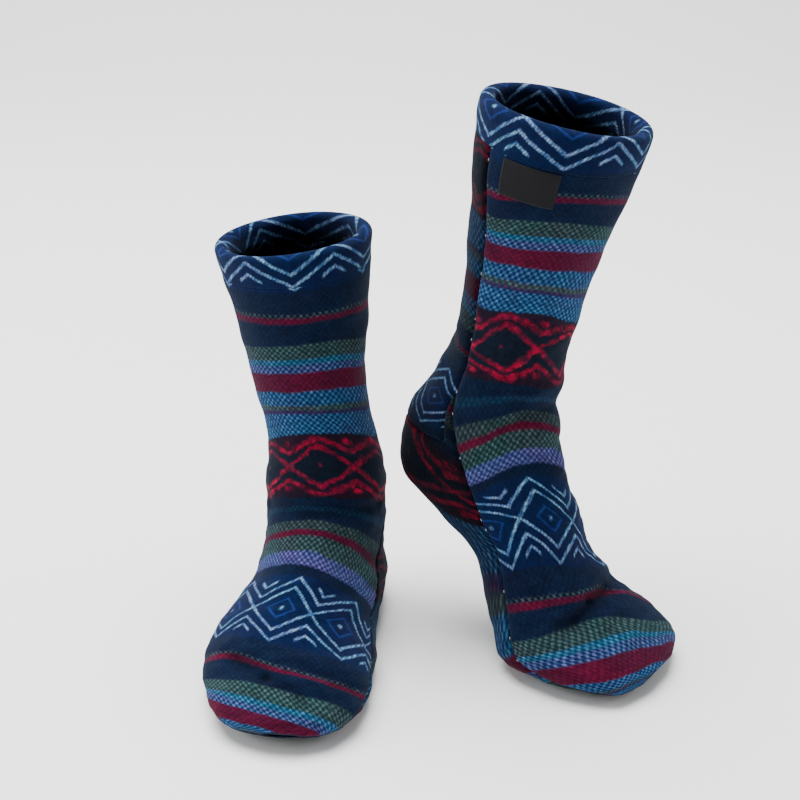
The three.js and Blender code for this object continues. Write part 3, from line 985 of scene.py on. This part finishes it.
DIAMOND_HALF = 20.0
OUTER_HALF = 29.0
CHEVRON_HALF = 37.5
CHEVRON_START = 0.33
CHEVRON_FADE = 0.04
OUTER_SLOPE = 38.0
LINE = 2.6
DOT = 3.4
SMALL_LINE = 2.2
SMALL_HALF = 9
SMALL_SLOPE = 40
DIAMOND_PITCH = 50.0
TWIST_PITCH = 2.6
TWIST_SLOPE = 1.5


def line_mask(distance, width):
    """1 on a printed line with soft edges."""
    return 1 - distance.rise(width * 0.1, width * 0.8)


def white_band(height, diamond):
    """Lines of the white band: diamonds that cross, an outer zigzag, and chevrons beyond it."""
    share = diamond.folded(0.5)
    inner = abs(height - (DIAMOND_HALF - share * 2 * DIAMOND_HALF))
    outer = abs(height - (OUTER_HALF - share * OUTER_SLOPE))
    chevron = abs(height - (CHEVRON_HALF - share * OUTER_SLOPE))
    lines = line_mask(inner, LINE).at_least(line_mask(outer, LINE))
    beyond = share.rise(CHEVRON_START, CHEVRON_START + CHEVRON_FADE)
    lines = lines.at_least(line_mask(chevron, LINE) * beyond)
    dot = line_mask((height ** 2 + (share * DIAMOND_PITCH) ** 2) ** 0.5, DOT)
    small = line_mask(abs(height + share * SMALL_SLOPE - SMALL_HALF), SMALL_LINE)
    return lines.at_least(dot), small


RED_MIDDLE = 175
RED_HALF = 16.0
RED_OUTER = 22.0
RED_OUTER_SLOPE = 24.4
RED_LINE_WIDTH = 4.2
RED_ROUNDING = 0.0036
RED_PEAK = 1.5
BLOB_HEIGHT = 18.0
BLOB_HALF_HEIGHT = 2.4
BLOB_HALF_WIDTH = 3.8
RED_DOT = 2.6


def red_band(height, diamond):
    """Lines of the red band: rounded diamonds that cross, a wave beyond them, and oval spots."""
    share = diamond.folded(0.5)
    rounded = (share ** 2 + RED_ROUNDING) ** 0.5
    inner = abs(height - (RED_HALF + RED_PEAK - rounded * 2 * (RED_HALF + RED_PEAK)))
    outer = abs(height - (RED_OUTER + RED_PEAK - rounded * RED_OUTER_SLOPE))
    dot = (height ** 2 + (share * DIAMOND_PITCH) ** 2) ** 0.5
    blob_up = (height - BLOB_HEIGHT) / BLOB_HALF_HEIGHT
    blob_beside = (share - 0.5) * (DIAMOND_PITCH / BLOB_HALF_WIDTH)
    blob = (blob_up ** 2 + blob_beside ** 2) ** 0.5
    lines = line_mask(inner, RED_LINE_WIDTH).at_least(line_mask(outer, RED_LINE_WIDTH) * 0.9)
    return lines.at_least(line_mask(dot, RED_DOT) * 0.5).at_least(1 - blob.rise(0.5, 1.3))


# How the print strays: the size of the lumps of noise and how far it moves, in millimetres.
WANDER_LUMPS = 14.0
WANDER = 2.4
FUZZ_LUMPS = 1.3
FUZZ = 2.6
SIDE_FUZZ_LUMPS = 1.5
SIDE_FUZZ = 3.0
RED_BEND_LUMPS = 7.0
RED_BEND = 6.0
# The same for the diamonds, as shares of one diamond.
DIAMOND_FUZZ = 0.04
RED_BEND_ACROSS = 0.12
# Where the white and the red band end, in millimetres from their middle lines.
WHITE_EDGE = (30, 32)
RED_EDGE = (23.5, 25)
# How much the nap, its mottling and its patches lighten and darken the print.
NAP_DEPTH = 0.9
MOTTLE_DEPTH = 1.1
PATCH_DEPTH = 0.7


def fleece(name):
    """Printed fleece with a short matte nap, darkened by the mesh's shade mark, which holds painted shade."""
    finish = Finish(name)
    down = finish.mark("down")
    across = finish.mark("across")
    diamond = finish.mark("diamond")
    place = finish.point(across, down)
    wander = finish.noise(place, WANDER_LUMPS) - 0.5
    fuzz = finish.noise(place, FUZZ_LUMPS, 3.0, 0.65) - 0.5
    side_place = finish.point(down, across, 7.0)
    side_fuzz = finish.noise(side_place, SIDE_FUZZ_LUMPS, 3.0, 0.65) - 0.5
    printed = down + wander * WANDER + fuzz * FUZZ
    beside = across + side_fuzz * SIDE_FUZZ
    repeat = printed - ((printed - REPEAT_START) / REPEAT).floor() * REPEAT

    ground, tips = STRIPES[0][1:]
    for start, ground_colour, tip_colour in STRIPES[1:]:
        edge = repeat.rise(start - EDGE_SOFT / 2, start + EDGE_SOFT / 2)
        ground = finish.mix(edge, ground, ground_colour)
        tips = finish.mix(edge, tips, tip_colour)

    uneven = finish.noise(place, 5.0, 3.0, 0.6).rise(0.3, 0.7)
    strength = finish.noise(place, 2.4, 2.0, 0.6).rise(0.32, 0.68)
    specks = knit_specks(beside, printed) * (strength * 0.6 + uneven * 0.3 + 0.2)
    colour = finish.mix(specks, ground, tips)

    diamond_fuzzy = diamond + side_fuzz * DIAMOND_FUZZ
    height = abs(repeat)
    lines, small = white_band(height, diamond_fuzzy)
    on_white = 1 - height.rise(*WHITE_EDGE)
    twist = (beside * (2 * math.pi / TWIST_PITCH) + printed * TWIST_SLOPE).sine() * 0.3 + 0.7
    colour = finish.mix(small * on_white * 0.6, colour, FAINT_BLUE)
    pale = finish.mix(uneven, SKY, PALE)
    colour = finish.mix(lines * on_white * twist * (uneven * 0.35 + 0.65), colour, pale)

    bend = finish.noise(finish.point(across, down, 5.0), RED_BEND_LUMPS, 2.0) - 0.5
    red_height = abs(repeat + bend * RED_BEND - RED_MIDDLE)
    red_lines = red_band(red_height, diamond_fuzzy + bend * RED_BEND_ACROSS)
    on_red = 1 - red_height.rise(*RED_EDGE)
    broken = finish.noise(finish.point(down, across, 3.0), 6.0, 2.0, 0.6).rise(0.36, 0.62)
    colour = finish.mix((red_height - 9).rise(0, 9) * on_red * 0.6, colour, RED_GROUND)
    red = finish.mix(uneven, RED_SHADE, RED_LINE)
    colour = finish.mix(red_lines * on_red * (broken * 0.7 + 0.25), colour, red)

    slow = finish.noise(place, 34.0, 1.0).rise(0.3, 0.7)
    nap = finish.noise(place, 0.9, 4.0, 0.7)
    mottle = finish.noise(place, 3.6, 3.0, 0.6)
    patchy = finish.noise(place, 11.0, 2.0)
    uneven_nap = (nap - 0.5) * NAP_DEPTH + (mottle - 0.5) * MOTTLE_DEPTH + (patchy - 0.5) * PATCH_DEPTH
    # The shade mark paints shade inside the sock and in folds, and darkens the back and sole partly as
    # painted shade; the nap's unevenness is the cloth's own.
    shade = (uneven_nap + 1.0) * finish.mark("shade")
    colour = finish.mix(1.0, colour, finish.point(shade, shade, shade), "MULTIPLY")
    colour = finish.mix(1.0, colour, finish.mix(slow, TEAL_CAST, VIOLET_CAST), "MULTIPLY")
    finish.feed(finish.shader.inputs["Base Color"], colour)
    finish.shine(0.97, 0.04, 0.5, (0.6, 0.75, 1.0, 1.0))
    finish.relief(nap * 0.6 + mottle * 0.8, 0.55, 1.1 * MM)
    return finish.material


THREAD_PALE = paint(150, 160, 172)


def thread_finish():
    """Pale sewing thread."""
    finish = Finish("sewing thread")
    finish.feed(finish.shader.inputs["Base Color"], THREAD_PALE)
    finish.feed(finish.shader.inputs["Roughness"], 0.7)
    return finish.material


LABEL_BLACK = paint(20, 20, 22)
LABEL_RIB = paint(36, 36, 38)
RIB_PITCH = 0.55
WARP_PITCH = 0.7


def woven_label():
    """Black woven tape with a fine rib."""
    finish = Finish("black woven tape")
    across = finish.mark("across")
    down = finish.mark("down")
    rib = (down * (2 * math.pi / RIB_PITCH)).sine() * 0.5 + 0.5
    warp = (across * (2 * math.pi / WARP_PITCH)).sine() * 0.5 + 0.5
    weave = rib * 0.5 + warp * 0.3
    colour = finish.mix(weave, LABEL_BLACK, LABEL_RIB)
    finish.feed(finish.shader.inputs["Base Color"], colour)
    finish.shine(0.7, 0.05, 0.4, (0.8, 0.85, 1.0, 1.0))
    finish.relief(weave, 0.5, 0.15 * MM)
    return finish.material


FLOOR_PALE = (0.90, 0.90, 0.895, 1.0)
BEND_STEPS = 16


def floor_finish():
    """Plain pale floor."""
    finish = Finish("pale floor")
    finish.feed(finish.shader.inputs["Base Color"], FLOOR_PALE)
    finish.feed(finish.shader.inputs["Roughness"], 0.9)
    return finish.material


def floor_sweep():
    """Floor that curves up into a backdrop far behind the socks."""
    half_width = 6.0
    near, far, bend, top = -3.0, 3.2, 1.6, 5.0
    level = -ANKLE_HEIGHT * MM
    profile = [(near, level), (0.0, level), (far - bend, level)]
    for step in range(1, BEND_STEPS + 1):
        turn = math.pi / 2 * step / BEND_STEPS
        profile.append((far - bend + bend * math.sin(turn), level + bend * (1 - math.cos(turn))))
    profile.append((far, top))
    points = np.array([(x, y, z) for y, z in profile for x in (-half_width, half_width)])
    faces = np.array([(2 * k, 2 * k + 1, 2 * k + 3, 2 * k + 2) for k in range(len(profile) - 1)])
    floor = make_object("floor", points, faces, {})
    floor.data.materials.append(floor_finish())


CAMERA_TARGET = (0.050, 0.045, 0.040)
CAMERA_ELEVATION = 24.0
CAMERA_DISTANCE = 1.2
CAMERA_LENS = 72.0
CAMERA_SENSOR = 36.0


def camera():
    """Camera at the photograph's viewing angle."""
    tilt = math.radians(CAMERA_ELEVATION)
    eye = Vector(CAMERA_TARGET) + CAMERA_DISTANCE * Vector((0, -math.cos(tilt), math.sin(tilt)))
    data = bpy.data.cameras.new("camera")
    data.lens = CAMERA_LENS
    data.sensor_width = CAMERA_SENSOR
    lens = bpy.data.objects.new("camera", data)
    lens.location = eye
    lens.rotation_euler = (math.radians(90 - CAMERA_ELEVATION), 0, 0)
    bpy.context.scene.collection.objects.link(lens)
    bpy.context.scene.camera = lens


# Soft lights: name, place and width in metres, and power in watts.
LIGHTS = (
    ("overhead", (-0.3, 0.3, 2.6), 2.6, 240),
    ("left side", (-1.8, -0.4, 0.8), 1.2, 22),
    ("right side", (1.8, -0.1, 0.9), 1.2, 9),
)
LIGHT_TARGET = (0.06, -0.02, 0.05)
WORLD_STRENGTH = 0.42


def studio_light(name, place, size, power):
    """Soft panel of light that faces the socks."""
    data = bpy.data.lights.new(name, "AREA")
    data.shape = "DISK"
    data.size = size
    data.energy = power
    lamp = bpy.data.objects.new(name, data)
    lamp.location = place
    direction = Vector(LIGHT_TARGET) - Vector(place)
    lamp.rotation_euler = direction.to_track_quat("-Z", "Y").to_euler()
    bpy.context.scene.collection.objects.link(lamp)


def studio():
    """Plain soft studio light."""
    world = bpy.data.worlds.new("studio")
    world.use_nodes = True
    background = world.node_tree.nodes["Background"]
    background.inputs["Color"].default_value = (1.0, 1.0, 1.0, 1.0)
    background.inputs["Strength"].default_value = WORLD_STRENGTH
    bpy.context.scene.world = world
    for light in LIGHTS:
        studio_light(*light)


def dress(piece, node, finish):
    """Puts a piece of cloth on the frame in place of its node."""
    piece.data.materials.append(finish)
    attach(piece, "root")
    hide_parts(node)


camera()
studio()
floor_sweep()
printed_fleece = fleece("printed fleece")
thread = thread_finish()
for name, sock in SOCKS.items():
    dress(front_panel(name, sock), f"{name}_front_panel", printed_fleece)
    dress(back_panel(name, sock), f"{name}_back_panel", printed_fleece)
    dress(sole_panel(name, sock), f"{name}_sole_panel", printed_fleece)
    dress(cuff_band(name, sock), f"{name}_cuff", printed_fleece)
    stitches = seam_stitches(name, sock)
    stitches.data.materials.append(thread)
    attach(stitches, "root")
dress(label_patch(SOCKS["raised"]), "raised_label", woven_label())
